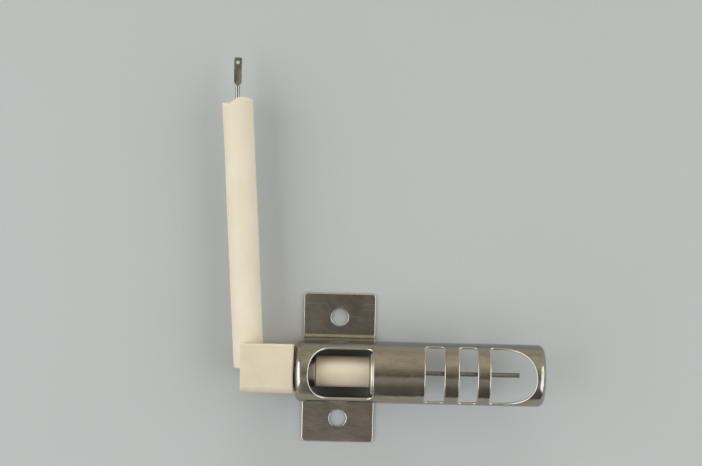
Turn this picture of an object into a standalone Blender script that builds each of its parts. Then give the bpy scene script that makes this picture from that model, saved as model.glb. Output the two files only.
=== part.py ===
"""Ignition electrode: a spark rod in a ceramic insulator, under a stamped shield with two mounting ears.

Frame: X along the spark rod towards its tip, Y along the lead towards its terminal, Z up from the mounting
face. The origin lies on the mounting face, midway between the two screw holes.
"""

import math

import bmesh
import bpy
from mathutils import Matrix, Vector

MM = 0.001

# Shield: one sheet with a half-round roof, a leg with an ear on each side, and a turned-in lip at each end
SHEET = 0.8 * MM
SHIELD_WIDTH = 19.0 * MM
SHIELD_FRONT = 63.0 * MM
ROD_HEIGHT = 9.5 * MM
SIDE_DROP = 1.0 * MM
BACK_LIP_RADIUS = 1.75 * MM
FRONT_LIP_RADIUS = 2.0 * MM

# Cuts in the roof, from the back end to the front end; a land is the sheet left beside a cut
BACK_BAND = 3.9 * MM
WINDOW_LENGTH = 19.65 * MM
WINDOW_LAND = 5.45 * MM
WINDOW_ROUND = 6.6 * MM
WINDOW_CORNER = 2.2 * MM
SLOT_A_LENGTH = 5.7 * MM
SLOT_BAR = 4.6 * MM
SLOT_B_LENGTH = 5.45 * MM
MOUTH_BAR = 4.05 * MM
MOUTH_LENGTH = 13.8 * MM
MOUTH_STRAIGHT = 2.3 * MM
FRONT_BAND = 3.0 * MM
SLOT_LAND = 3.75 * MM
SLOT_CORNER = 1.0 * MM

# Legs and ears
EAR_WIDTH = 22.5 * MM
EAR_REACH = 23.3 * MM
EAR_BEND = 1.2 * MM
EAR_CORNER = 1.2 * MM
LEG_FILLET = 1.5 * MM
HOLE_SPACING = 31.75 * MM
HOLE_DIAMETER = 5.2 * MM

# Drawn caps inside the shield
CAP_SHEET = 0.5 * MM
CAP_EDGE = 1.4 * MM
CAP_FOOT = 1.0 * MM
CAP_FOOT_CORNER = 1.8 * MM
REAR_CAP_DEPTH = 2.4 * MM
REAR_COLLAR_LENGTH = 4.3 * MM
SUPPORT_PROUD = 1.15 * MM
SUPPORT_DEPTH = 3.4 * MM
SUPPORT_COLLAR_LENGTH = 2.4 * MM

# Ceramics
STEM_DIAMETER = 9.5 * MM
STEM_LENGTH = 27.0 * MM
NECK_DIAMETER = 8.4 * MM
NECK_IN_HEAD = 6.0 * MM
CERAMIC_CHAMFER = 0.4 * MM
HEAD_LENGTH = 16.1 * MM
HEAD_WIDTH = 15.6 * MM
HEAD_HEIGHT = 15.6 * MM
HEAD_SHIFT = 1.1 * MM
HEAD_DRAFT = 1.6 * MM
HEAD_ROUND = 1.0 * MM
HEAD_GAP = 0.6 * MM
GASKET_DIAMETER = 13.0 * MM

# Spark rod, its terminal and its retainer
ROD_DIAMETER = 1.5 * MM
ROD_TIP_SETBACK = 7.3 * MM
ROD_TIP_CHAMFER = 0.15 * MM
ROD_BEND = 2.5 * MM
LEAD_INSET = 2.23 * MM
LEAD_LEAN = math.radians(3.56)
NECK_BARE = 3.45 * MM
TAB_KINK = math.radians(3.4)
TAB_TAPER = 1.35 * MM
TAB_LENGTH = 7.5 * MM
TAB_WIDTH = 2.6 * MM
TAB_THICKNESS = 0.6 * MM
TAB_HOLE = 1.1 * MM
TAB_HOLE_INSET = 1.5 * MM
RETAINER_DIAMETER = 6.8 * MM
RETAINER_SHEET = 0.35 * MM
RETAINER_DISH = 0.5 * MM
RETAINER_SLOT = 1.9 * MM

# Lead sleeve
SLEEVE_DIAMETER = 9.5 * MM
SLEEVE_BORE = 5.5 * MM
SLEEVE_LENGTH = 82.4 * MM
SLEEVE_EDGE = 0.3 * MM

# Clearance between pieces that touch
FIT = 0.25 * MM

# Facets
ROUND_SIDES = 32
ROD_SIDES = 16
ARC_STEPS = 8
EDGE_STEPS = 4
CLAMP_GAIN = 1.4
SMOOTH_ANGLE = math.radians(40)

# Sizes that follow from the ones above
SHIELD_RADIUS = SHIELD_WIDTH / 2
MID_RADIUS = SHIELD_RADIUS - SHEET / 2
EAR_BACK = -EAR_WIDTH / 2
EAR_FRONT = EAR_WIDTH / 2
SHIELD_BACK = EAR_BACK - BACK_LIP_RADIUS
WINDOW_BACK = SHIELD_BACK + BACK_BAND
WINDOW_FRONT = WINDOW_BACK + WINDOW_LENGTH
MOUTH_FRONT = SHIELD_FRONT - FRONT_BAND
MOUTH_BACK = MOUTH_FRONT - MOUTH_LENGTH
MOUTH_ROUND = MOUTH_LENGTH - MOUTH_STRAIGHT
SLOT_B_FRONT = MOUTH_BACK - MOUTH_BAR
SLOT_B_BACK = SLOT_B_FRONT - SLOT_B_LENGTH
SLOT_A_FRONT = SLOT_B_BACK - SLOT_BAR
SLOT_A_BACK = SLOT_A_FRONT - SLOT_A_LENGTH
ROD_TIP = SHIELD_FRONT - ROD_TIP_SETBACK
ROD_RADIUS = ROD_DIAMETER / 2
BORE_RADIUS = ROD_RADIUS + FIT
CAP_RADIUS = SHIELD_RADIUS - SHEET - FIT
REAR_CAP_BACK = SHIELD_BACK + SHEET + FIT
SUPPORT_BACK = WINDOW_FRONT - SUPPORT_PROUD
HEAD_FRONT = SHIELD_BACK - HEAD_GAP
GASKET_BACK = HEAD_FRONT + FIT
GASKET_FRONT = REAR_CAP_BACK - FIT
HEAD_BACK = HEAD_FRONT - HEAD_LENGTH
LEAD_X = HEAD_BACK + LEAD_INSET
NECK_RADIUS = NECK_DIAMETER / 2
NECK_BACK = HEAD_FRONT - NECK_IN_HEAD
COLLAR_FRONT = REAR_CAP_BACK + CAP_SHEET + REAR_COLLAR_LENGTH
STEM_BACK = COLLAR_FRONT + FIT
STEM_FRONT = STEM_BACK + STEM_LENGTH
SLEEVE_START = ROD_RADIUS + FIT - SLEEVE_BORE / 2 * math.tan(LEAD_LEAN)
SLEEVE_END = SLEEVE_START + SLEEVE_LENGTH


def clear_scene():
    for thing in list(bpy.data.objects):
        bpy.data.objects.remove(thing, do_unlink=True)


def make_material(name, colour, roughness, metallic):
    material = bpy.data.materials.new(name)
    material.use_nodes = True
    shader = material.node_tree.nodes["Principled BSDF"]
    shader.inputs["Base Color"].default_value = (*colour, 1.0)
    shader.inputs["Roughness"].default_value = roughness
    shader.inputs["Metallic"].default_value = metallic
    return material


def add_object(name, shape, material=None):
    """Turns a bmesh into a named object whose faces point out and whose round sides shade smooth."""
    bmesh.ops.recalc_face_normals(shape, faces=shape.faces)
    mesh = bpy.data.meshes.new(name)
    shape.to_mesh(mesh)
    shape.free()
    mesh.shade_smooth()
    mesh.set_sharp_from_angle(angle=SMOOTH_ANGLE)
    piece = bpy.data.objects.new(name, mesh)
    bpy.context.collection.objects.link(piece)
    if material:
        mesh.materials.append(material)
    return piece


def cut(piece, cutter):
    cutter.hide_render = True
    cutter.display_type = "WIRE"
    boolean = piece.modifiers.new(cutter.name, "BOOLEAN")
    boolean.operation = "DIFFERENCE"
    boolean.solver = "EXACT"
    boolean.object = cutter


def loft(rings, joined):
    """Skins rings of equal point counts; a joined loft closes on its first ring, an open one gets end faces."""
    shape = bmesh.new()
    loops = [[shape.verts.new(point) for point in ring] for ring in rings]
    pairs = list(zip(loops, loops[1:]))
    if joined:
        pairs.append((loops[-1], loops[0]))
    for first, second in pairs:
        for index in range(len(first)):
            follow = (index + 1) % len(first)
            shape.faces.new((first[index], first[follow], second[follow], second[index]))
    if not joined:
        shape.faces.new(loops[0])
        shape.faces.new(loops[-1])
    return shape


def circle(x, radius, sides=ROUND_SIDES):
    """A ring about the X axis."""
    turns = [2 * math.pi * step / sides for step in range(sides)]
    return [Vector((x, radius * math.cos(turn), radius * math.sin(turn))) for turn in turns]


def turned(profile):
    return loft([circle(x, radius) for x, radius in profile], joined=True)


def cylinder(radius, length, centre, axis):
    """A closed round cutter of the given length, centred on a point."""
    shape = bmesh.new()
    turn = Vector((0, 0, 1)).rotation_difference(Vector(axis)).to_matrix().to_4x4()
    bmesh.ops.create_cone(
        shape,
        cap_ends=True,
        segments=ROUND_SIDES,
        radius1=radius,
        radius2=radius,
        depth=length,
        matrix=Matrix.Translation(centre) @ turn,
    )
    return shape


def box(low, high):
    shape = bmesh.new()
    size = [upper - lower for lower, upper in zip(low, high)]
    middle = [(upper + lower) / 2 for lower, upper in zip(low, high)]
    bmesh.ops.create_cube(shape, size=1.0, matrix=Matrix.Translation(middle) @ Matrix.Diagonal((*size, 1.0)))
    return shape


# The sheet is drawn flat, as u along X and s around the roof from its crown, and then folded.
# Folds, as distances s from the crown: side, leg, ear bend, ear flat, and the free edges of sides and ears.
EAR_MID_RADIUS = EAR_BEND + SHEET / 2
WALL_START = MID_RADIUS * math.pi / 2
BEND_CENTRE_Z = SHEET / 2 + EAR_MID_RADIUS
BEND_START = WALL_START + ROD_HEIGHT - BEND_CENTRE_Z
FLAT_START = BEND_START + EAR_MID_RADIUS * math.pi / 2
FLAT_Y = MID_RADIUS + EAR_MID_RADIUS
EAR_EDGE = FLAT_START + EAR_REACH - FLAT_Y
SIDE_EDGE = WALL_START + SIDE_DROP
WINDOW_EDGE = WALL_START - WINDOW_LAND
SLOT_EDGE = WALL_START - SLOT_LAND
CUTS_EDGE = max(WINDOW_EDGE, SLOT_EDGE)
BACK_LIP = EAR_BACK
FRONT_LIP = SHIELD_FRONT - FRONT_LIP_RADIUS


def fold(u, s, lift):
    """Places a point of the flat sheet, at a height above its middle, on the folded shield."""
    reach = abs(s)
    if reach <= WALL_START:
        turn = reach / MID_RADIUS
        y, z = MID_RADIUS * math.sin(turn), ROD_HEIGHT + MID_RADIUS * math.cos(turn)
        normal_y, normal_z = math.sin(turn), math.cos(turn)
    elif reach <= BEND_START:
        y, z = MID_RADIUS, ROD_HEIGHT - (reach - WALL_START)
        normal_y, normal_z = 1.0, 0.0
    elif reach <= FLAT_START:
        turn = (reach - BEND_START) / EAR_MID_RADIUS
        y = FLAT_Y - EAR_MID_RADIUS * math.cos(turn)
        z = BEND_CENTRE_Z - EAR_MID_RADIUS * math.sin(turn)
        normal_y, normal_z = math.cos(turn), math.sin(turn)
    else:
        y, z = FLAT_Y + reach - FLAT_START, SHEET / 2
        normal_y, normal_z = 0.0, 1.0
    straight = min(max(u, BACK_LIP), FRONT_LIP)
    radius = (BACK_LIP_RADIUS if u < BACK_LIP else FRONT_LIP_RADIUS) - SHEET / 2
    curl = (u - straight) / radius
    x = straight + (radius + lift) * math.sin(curl)
    out = (radius + lift) * math.cos(curl) - radius
    y, z = y + out * normal_y, z + out * normal_z
    return Vector((x, math.copysign(y, s) if s else 0.0, z))


def rounding(s, edge, radius):
    """How far a cut's corner has come in at s, for a corner that ends at edge."""
    into = max(0.0, abs(s) - (edge - radius))
    return radius - math.sqrt(max(0.0, radius**2 - into**2))


def oval(s, edge, depth):
    """How far a cut's round end has come in at s, for a cut that ends at edge."""
    return depth * (1 - math.sqrt(max(0.0, 1 - (s / edge) ** 2)))


def between(low, high, count):
    return [low + (high - low) * step / (count + 1) for step in range(1, count + 1)]


def roof_columns(s):
    """The u lines of the roof between the lips, along the edges of its cuts."""
    corner = rounding(s, SLOT_EDGE, SLOT_CORNER)
    window_back = WINDOW_BACK + oval(s, WINDOW_EDGE, WINDOW_ROUND)
    window_front = WINDOW_FRONT - rounding(s, WINDOW_EDGE, WINDOW_CORNER)
    slots = [
        SLOT_A_BACK + corner,
        SLOT_A_FRONT - corner,
        SLOT_B_BACK + corner,
        SLOT_B_FRONT - corner,
        MOUTH_BACK + corner,
        MOUTH_FRONT - oval(s, SLOT_EDGE, MOUTH_ROUND),
    ]
    plain = between(window_front, slots[0], 2)
    return [*between(BACK_LIP, window_back, 1), window_back, window_front, *plain, *slots]


def wall_columns():
    """The u lines of the sides between the lips: leg, its front fillet, and the rest in even steps."""
    leg = between(EAR_BACK, EAR_FRONT, 3)
    fillet_front = EAR_FRONT + LEG_FILLET
    return [*leg, EAR_FRONT, fillet_front, *between(fillet_front, FRONT_LIP, 6)]


def lip_steps(radius):
    length = (radius - SHEET / 2) * math.pi / 2
    return [length * step / EDGE_STEPS for step in range(EDGE_STEPS + 1)]


BACK_COLUMNS = [BACK_LIP - step for step in reversed(lip_steps(BACK_LIP_RADIUS))]
FRONT_COLUMNS = [FRONT_LIP + step for step in lip_steps(FRONT_LIP_RADIUS)]
LEG_COLUMN = len(BACK_COLUMNS) - 1
FILLET_COLUMN = LEG_COLUMN + 5
WINDOW_COLUMN = LEG_COLUMN + 2
SLOT_COLUMNS = (LEG_COLUMN + 6, LEG_COLUMN + 8, LEG_COLUMN + 10)


def columns(s):
    """All u lines of the sheet at s, from the back lip's edge to the front lip's edge."""
    share = min(1.0, max(0.0, (abs(s) - CUTS_EDGE) / (WALL_START - CUTS_EDGE)))
    mixed = [roof + (wall - roof) * share for roof, wall in zip(roof_columns(s), wall_columns())]
    return BACK_COLUMNS + mixed + FRONT_COLUMNS


def sheet_rows():
    """The s lines of the roof and sides, close together where the cuts' ends are round."""
    inner = min(WINDOW_EDGE, SLOT_EDGE)
    roof = [inner * math.sin(math.pi / 2 * step / ARC_STEPS) for step in range(ARC_STEPS + 1)]
    first = math.asin(inner / CUTS_EDGE)
    turns = between(first, math.pi / 2, EDGE_STEPS - 1) + [math.pi / 2]
    rest = [CUTS_EDGE * math.sin(turn) for turn in turns if first < math.pi / 2]
    sides = between(CUTS_EDGE, WALL_START, EDGE_STEPS - 1)
    half = [*roof, *rest, *sides, WALL_START, SIDE_EDGE]
    return [-s for s in reversed(half[1:])] + half


def leg_rows():
    """The s lines of a leg and its ear, close together where their outline is round."""
    turns = [math.pi / 2 * step / EDGE_STEPS for step in range(EDGE_STEPS + 1)]
    fillet = [SIDE_EDGE + LEG_FILLET * (1 - math.cos(turn)) for turn in turns]
    bend = between(BEND_START, FLAT_START, EDGE_STEPS)
    corner = [EAR_EDGE - EAR_CORNER * (1 - math.sin(turn)) for turn in turns]
    return [*fillet, BEND_START, *bend, FLAT_START, *corner]


def leg_columns(s):
    """The u lines of a leg and its ear at s, from one edge of their outline to the other."""
    corner = rounding(s, EAR_EDGE, EAR_CORNER)
    flare = rounding(max(0.0, SIDE_EDGE + LEG_FILLET - s), LEG_FILLET, LEG_FILLET)
    back = EAR_BACK + corner
    front = EAR_FRONT - corner + flare
    line = columns(SIDE_EDGE)[LEG_COLUMN : FILLET_COLUMN + 1]
    scale = (front - back) / (line[-1] - line[0])
    return [back + (u - line[0]) * scale for u in line]


def is_open(index, s):
    """Whether the roof has no metal after column index, at s."""
    in_window = index == WINDOW_COLUMN and s < WINDOW_EDGE
    return in_window or (index in SLOT_COLUMNS and s < SLOT_EDGE)


def sheet_cells():
    """Yields the flat sheet's cells, each as four (u, s) corners."""
    rows = sheet_rows()
    for low, high in zip(rows, rows[1:]):
        middle = abs(low + high) / 2
        lower, upper = columns(low), columns(high)
        for index in range(len(lower) - 1):
            if not is_open(index, middle):
                yield cell(lower, upper, index, low, high)
    stations = leg_rows()
    for low, high in zip(stations, stations[1:]):
        lower, upper = leg_columns(low), leg_columns(high)
        for index in range(len(lower) - 1):
            yield cell(lower, upper, index, low, high)
            yield cell(lower, upper, index, -low, -high)


def cell(lower, upper, index, low, high):
    follow = index + 1
    return ((lower[index], low), (lower[follow], low), (upper[follow], high), (upper[index], high))


def thick_sheet(cells):
    """Folds the cells on both faces of the sheet and closes its free edges."""
    shape = bmesh.new()
    points = {}
    edges = {}

    def corner(u, s, lift):
        key = (round(u, 8), round(s, 8), lift)
        if key not in points:
            points[key] = shape.verts.new(fold(u, s, lift))
        return points[key]

    for corners in cells:
        top = [corner(*spot, SHEET / 2) for spot in corners]
        bottom = [corner(*spot, -SHEET / 2) for spot in corners]
        shape.faces.new(top)
        shape.faces.new(reversed(bottom))
        for index in range(len(corners)):
            follow = (index + 1) % len(corners)
            pair = frozenset((top[index], top[follow]))
            edges.setdefault(pair, []).append((top[index], top[follow], bottom[follow], bottom[index]))
    for sides in edges.values():
        if len(sides) == 1:
            shape.faces.new(reversed(sides[0]))
    return shape


def build_shield(material):
    shield = add_object("shield", thick_sheet(sheet_cells()), material)
    for side, name in ((1, "lead_side"), (-1, "far_side")):
        centre = (0, side * HOLE_SPACING / 2, SHEET / 2)
        hole = cylinder(HOLE_DIAMETER / 2, 4 * SHEET, centre, (0, 0, 1))
        cut(shield, add_object(f"screw_hole_{name}", hole))


def arch(x, inset):
    """A cap's outline about the rod axis: half-round top, straight legs, rounded feet, drawn in by inset."""
    radius = CAP_RADIUS - inset
    foot = CAP_FOOT - ROD_HEIGHT + inset
    corner = max(CAP_FOOT_CORNER - inset, CAP_FOOT_CORNER / 4)
    roof = [math.pi * step / (2 * ARC_STEPS) for step in range(2 * ARC_STEPS + 1)]
    spots = [(radius * math.cos(turn), radius * math.sin(turn)) for turn in roof]
    turns = [math.pi / 2 * step / EDGE_STEPS for step in range(EDGE_STEPS + 1)]
    inner = radius - corner
    leg = between(0, foot + corner, EDGE_STEPS - 1)
    spots += [(-radius, z) for z in leg]
    spots += [(-inner - corner * math.cos(turn), foot + corner * (1 - math.sin(turn))) for turn in turns]
    spots += [(y, foot) for y in between(-inner, inner, EDGE_STEPS)]
    spots += [(inner + corner * math.sin(turn), foot + corner * (1 - math.cos(turn))) for turn in turns]
    spots += [(radius, z) for z in reversed(leg)]
    return [Vector((x, y, z)) for y, z in spots]


def hole_ring(x, radius):
    """A round ring with a point for each point of the cap's outline."""
    ring = []
    for spot in arch(x, 0.0):
        across = Vector((0, spot.y, spot.z)).normalized() * radius
        ring.append(Vector((x, across.y, across.z)))
    return ring


def drawn_cap(back, depth, hole_radius, collar_length):
    """A drawn sheet cap: a plate with a rounded rim and skirt, and a collar round its hole."""
    turns = [math.pi / 2 * step / EDGE_STEPS for step in range(EDGE_STEPS + 1)]
    inner_edge = CAP_EDGE - CAP_SHEET
    plate = back + CAP_SHEET
    collar_radius = hole_radius + CAP_SHEET
    outer = [arch(back + CAP_EDGE * (1 - math.cos(t)), CAP_EDGE * (1 - math.sin(t))) for t in turns]
    inner = [
        arch(plate + inner_edge * (1 - math.cos(t)), CAP_SHEET + inner_edge * (1 - math.sin(t)))
        for t in reversed(turns)
    ]
    rim = [arch(back + depth, 0.0), arch(back + depth, CAP_SHEET)]
    collar = [
        hole_ring(plate, collar_radius),
        hole_ring(plate + collar_length, collar_radius),
        hole_ring(plate + collar_length, hole_radius),
    ]
    return loft([hole_ring(back, hole_radius), *outer, *rim, *inner, *collar], joined=True)


def on_rod_axis(piece):
    piece.location.z = ROD_HEIGHT
    return piece


def build_rear_cap(material):
    shape = drawn_cap(REAR_CAP_BACK, REAR_CAP_DEPTH, NECK_RADIUS + FIT, REAR_COLLAR_LENGTH)
    on_rod_axis(add_object("rear_cap", shape, material))


def build_front_support(material):
    shape = drawn_cap(SUPPORT_BACK, SUPPORT_DEPTH, STEM_DIAMETER / 2 + FIT, SUPPORT_COLLAR_LENGTH)
    on_rod_axis(add_object("front_support", shape, material))


def build_insulator_stem(material):
    radius = STEM_DIAMETER / 2
    profile = [
        (NECK_BACK, BORE_RADIUS),
        (NECK_BACK, NECK_RADIUS - CERAMIC_CHAMFER),
        (NECK_BACK + CERAMIC_CHAMFER, NECK_RADIUS),
        (STEM_BACK, NECK_RADIUS),
        (STEM_BACK, radius - CERAMIC_CHAMFER),
        (STEM_BACK + CERAMIC_CHAMFER, radius),
        (STEM_FRONT - CERAMIC_CHAMFER, radius),
        (STEM_FRONT, radius - CERAMIC_CHAMFER),
        (STEM_FRONT, BORE_RADIUS),
    ]
    on_rod_axis(add_object("insulator_stem", turned(profile), material))


def build_insulator_head(material):
    """A pressed block, narrower below: a socket for the stem in front, and a fork behind for the lead."""
    half_width, half_height = HEAD_WIDTH / 2, HEAD_HEIGHT / 2
    low = (HEAD_BACK, HEAD_SHIFT - half_width, ROD_HEIGHT - half_height)
    high = (HEAD_FRONT, HEAD_SHIFT + half_width, ROD_HEIGHT + half_height)
    block = box(low, high)
    for vertex in block.verts:
        if vertex.co.z < ROD_HEIGHT:
            vertex.co.y -= math.copysign(HEAD_DRAFT, vertex.co.y - HEAD_SHIFT)
    bmesh.ops.bevel(block, geom=block.edges[:], offset=HEAD_ROUND, segments=2, profile=0.5, affect="EDGES")
    head = add_object("insulator_head", block, material)

    gap = SLEEVE_DIAMETER / 2 + FIT
    fork_floor = -ROD_RADIUS - FIT
    fork_front = LEAD_X + SLEEVE_DIAMETER / 2 * math.cos(LEAD_LEAN) + FIT
    fork_low = (HEAD_BACK - HEAD_ROUND, fork_floor, ROD_HEIGHT - gap)
    fork_high = (fork_front, high[1] + HEAD_ROUND, ROD_HEIGHT + gap)
    cut(head, add_object("fork_cutter", box(fork_low, fork_high)))

    depth = NECK_IN_HEAD + FIT
    centre = (HEAD_FRONT, 0, ROD_HEIGHT)
    cut(head, add_object("socket_cutter", cylinder(NECK_RADIUS + FIT, 2 * depth, centre, (1, 0, 0))))
    reach = HEAD_FRONT - fork_front
    centre = (fork_front + reach / 2, 0, ROD_HEIGHT)
    cut(head, add_object("rod_hole_cutter", cylinder(BORE_RADIUS, 2 * reach, centre, (1, 0, 0))))


def build_head_gasket(material):
    inner, outer = NECK_RADIUS + FIT, GASKET_DIAMETER / 2
    profile = [(GASKET_BACK, inner), (GASKET_BACK, outer), (GASKET_FRONT, outer), (GASKET_FRONT, inner)]
    on_rod_axis(add_object("head_gasket", turned(profile), material))


def build_rod_retainer(material):
    """A dished push-on washer with teeth that bite the rod in front of the stem."""

    def teeth(x):
        tip, root = ROD_RADIUS + FIT / 2, RETAINER_SLOT
        ring = circle(x, 1.0)
        for index, spot in enumerate(ring):
            radius = root if index % 4 == 0 else tip
            spot.y *= radius
            spot.z *= radius
        return ring

    rim = STEM_FRONT + FIT
    rings = [
        teeth(rim + RETAINER_DISH),
        circle(rim, RETAINER_DIAMETER / 2),
        circle(rim + RETAINER_SHEET, RETAINER_DIAMETER / 2),
        teeth(rim + RETAINER_DISH + RETAINER_SHEET),
    ]
    on_rod_axis(add_object("rod_retainer", loft(rings, joined=True), material))


def lead_point(along):
    """A point of the lead's axis, from the corner where it meets the spark rod's axis."""
    return Vector((LEAD_X - along * math.sin(LEAD_LEAN), along * math.cos(LEAD_LEAN), 0))


def rod_stations():
    """The rod's centre line from spark tip to terminal, as (point, heading angle, flatness, scale)."""
    back, up = math.pi, math.pi / 2 + LEAD_LEAN
    tangent = ROD_BEND * math.tan((back - up) / 2)
    stations = [(Vector((ROD_TIP, 0, 0)), back, 0.0, 1 - ROD_TIP_CHAMFER / ROD_RADIUS)]
    stations.append((Vector((ROD_TIP - ROD_TIP_CHAMFER, 0, 0)), back, 0.0, 1.0))
    centre = Vector((LEAD_X + tangent, ROD_BEND, 0))
    for step in range(ARC_STEPS + 1):
        heading = back + (up - back) * step / ARC_STEPS
        arm = Vector((-math.sin(heading), math.cos(heading), 0)) * ROD_BEND
        stations.append((centre + arm, heading, 0.0, 1.0))
    crook = lead_point(SLEEVE_END + NECK_BARE / 2)
    tab = up - TAB_KINK
    stations.append((crook, up - TAB_KINK / 2, 0.0, 1.0))
    along = Vector((math.cos(tab), math.sin(tab), 0))
    foot = crook + along * NECK_BARE / 2
    edge = TAB_THICKNESS / 2
    end = TAB_TAPER + TAB_LENGTH
    for distance, flatness, scale in (
        (0.0, 0.0, 1.0),
        (TAB_TAPER, 1.0, 1.0),
        (end - edge, 1.0, 1.0),
        (end, 1.0, 1 - edge / TAB_WIDTH),
    ):
        stations.append((foot + along * distance, tab, flatness, scale))
    hole = foot + along * (end - TAB_HOLE_INSET)
    return stations, hole


def rod_section(point, heading, flatness, scale):
    """One ring of the rod: round where flatness is 0, the flat terminal where it is 1."""
    across = Vector((-math.sin(heading), math.cos(heading), 0))
    ring = []
    for step in range(ROD_SIDES):
        turn = 2 * math.pi * (step + 0.5) / ROD_SIDES
        wide, tall = math.cos(turn), math.sin(turn)
        flat_wide = max(-1.0, min(1.0, CLAMP_GAIN * wide)) * TAB_WIDTH / 2 * scale
        flat_tall = max(-1.0, min(1.0, CLAMP_GAIN * tall)) * TAB_THICKNESS / 2
        round_wide, round_tall = wide * ROD_RADIUS * scale, tall * ROD_RADIUS * scale
        side = round_wide + (flat_wide - round_wide) * flatness
        rise = round_tall + (flat_tall - round_tall) * flatness
        ring.append(point + across * side + Vector((0, 0, rise)))
    return ring


def build_spark_rod(material):
    stations, hole = rod_stations()
    rings = [rod_section(*station) for station in stations]
    rod = on_rod_axis(add_object("spark_rod", loft(rings, joined=False), material))
    centre = hole + Vector((0, 0, ROD_HEIGHT))
    cut(rod, add_object("tab_hole_cutter", cylinder(TAB_HOLE / 2, 4 * TAB_THICKNESS, centre, (0, 0, 1))))


def build_lead_sleeve(material):
    """A plain tube along its own X, whose origin lies on the lead's axis, along which it slides."""
    outer, inner = SLEEVE_DIAMETER / 2, SLEEVE_BORE / 2
    profile = [
        (SLEEVE_START, inner),
        (SLEEVE_START, outer - SLEEVE_EDGE),
        (SLEEVE_START + SLEEVE_EDGE, outer),
        (SLEEVE_END - SLEEVE_EDGE, outer),
        (SLEEVE_END, outer - SLEEVE_EDGE),
        (SLEEVE_END, inner),
    ]
    sleeve = on_rod_axis(add_object("lead_sleeve", turned(profile), material))
    sleeve.location.x = LEAD_X
    sleeve.rotation_euler.z = math.pi / 2 + LEAD_LEAN


def main():
    clear_scene()
    stainless = make_material("stainless", (0.56, 0.53, 0.48), 0.16, 1.0)
    cap_steel = make_material("cap_steel", (0.50, 0.47, 0.42), 0.22, 1.0)
    ceramic = make_material("ceramic", (0.72, 0.64, 0.50), 0.55, 0.0)
    mica = make_material("mica", (0.16, 0.12, 0.07), 0.6, 0.0)
    rod_alloy = make_material("rod_alloy", (0.34, 0.33, 0.31), 0.35, 1.0)
    spring_steel = make_material("spring_steel", (0.25, 0.25, 0.26), 0.3, 1.0)
    silicone = make_material("silicone", (0.79, 0.72, 0.58), 0.6, 0.0)

    build_shield(stainless)
    build_rear_cap(cap_steel)
    build_front_support(cap_steel)
    build_insulator_stem(ceramic)
    build_insulator_head(ceramic)
    build_head_gasket(mica)
    build_rod_retainer(spring_steel)
    build_spark_rod(rod_alloy)
    build_lead_sleeve(silicone)


main()
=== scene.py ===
"""Looks of an ignition electrode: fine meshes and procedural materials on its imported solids."""

import math
from math import cos, sin

import bmesh
import bpy
from mathutils import Matrix, Vector, noise


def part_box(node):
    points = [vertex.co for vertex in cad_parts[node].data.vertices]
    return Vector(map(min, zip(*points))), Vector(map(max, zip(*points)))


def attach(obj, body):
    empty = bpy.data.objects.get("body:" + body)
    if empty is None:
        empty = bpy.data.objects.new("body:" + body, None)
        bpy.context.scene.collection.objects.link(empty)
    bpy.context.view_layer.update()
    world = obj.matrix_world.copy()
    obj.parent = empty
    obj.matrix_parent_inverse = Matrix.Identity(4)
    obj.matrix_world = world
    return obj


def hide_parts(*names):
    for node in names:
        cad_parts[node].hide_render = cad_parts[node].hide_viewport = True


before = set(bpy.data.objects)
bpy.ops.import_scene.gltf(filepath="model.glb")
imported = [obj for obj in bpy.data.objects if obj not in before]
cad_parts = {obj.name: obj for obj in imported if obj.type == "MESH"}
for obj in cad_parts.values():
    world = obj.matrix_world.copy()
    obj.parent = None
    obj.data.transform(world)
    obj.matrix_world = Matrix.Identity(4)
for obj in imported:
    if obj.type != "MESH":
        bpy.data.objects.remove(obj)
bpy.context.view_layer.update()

MM = 0.001
QUARTER = math.pi / 2

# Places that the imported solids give
SHIELD_LOW, SHIELD_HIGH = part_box("shield")
REAR_CAP_LOW, REAR_CAP_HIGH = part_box("rear_cap")
SUPPORT_LOW, SUPPORT_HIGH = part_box("front_support")
STEM_LOW, STEM_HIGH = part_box("insulator_stem")
HEAD_LOW, HEAD_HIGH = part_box("insulator_head")
GASKET_LOW, GASKET_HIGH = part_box("head_gasket")
RETAINER_LOW, RETAINER_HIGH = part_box("rod_retainer")
ROD_LOW, ROD_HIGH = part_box("spark_rod")
SLEEVE_LOW, SLEEVE_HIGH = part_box("lead_sleeve")

ROD_HEIGHT = (STEM_LOW.z + STEM_HIGH.z) / 2
ROD_AXIS = Vector((0, 0, ROD_HEIGHT))
SHIELD_BACK = SHIELD_LOW.x
SHIELD_FRONT = SHIELD_HIGH.x
SHIELD_RADIUS = SHIELD_HIGH.z - ROD_HEIGHT
EAR_REACH = SHIELD_HIGH.y
STEM_RADIUS = STEM_HIGH.y
ROD_RADIUS = (ROD_HIGH.z - ROD_LOW.z) / 2
SLEEVE_RADIUS = (SLEEVE_HIGH.z - SLEEVE_LOW.z) / 2

# Shield sheet
SHEET = 0.8 * MM
SIDE_DROP = 1.0 * MM
BACK_LIP_RADIUS = 1.75 * MM
FRONT_LIP_RADIUS = 2.0 * MM
SHEET_EDGE = 0.32 * MM
SHEET_WAVE = 0.07 * MM
WAVE_PER_METRE = 95.0
BACK_BAND = 3.9 * MM
WINDOW_LENGTH = 19.65 * MM
WINDOW_LAND = 5.45 * MM
WINDOW_ROUND = 6.6 * MM
WINDOW_CORNER = 2.2 * MM
SLOT_A_LENGTH = 5.7 * MM
SLOT_BAR = 4.6 * MM
SLOT_B_LENGTH = 5.45 * MM
MOUTH_BAR = 4.05 * MM
MOUTH_LENGTH = 13.8 * MM
MOUTH_STRAIGHT = 2.3 * MM
FRONT_BAND = 3.0 * MM
SLOT_LAND = 3.75 * MM
SLOT_CORNER = 1.0 * MM
EAR_BEND = 1.2 * MM
EAR_CORNER = 1.2 * MM
LEG_FILLET = 1.5 * MM
HOLE_SPACING = 31.75 * MM
HOLE_DIAMETER = 5.2 * MM
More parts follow.
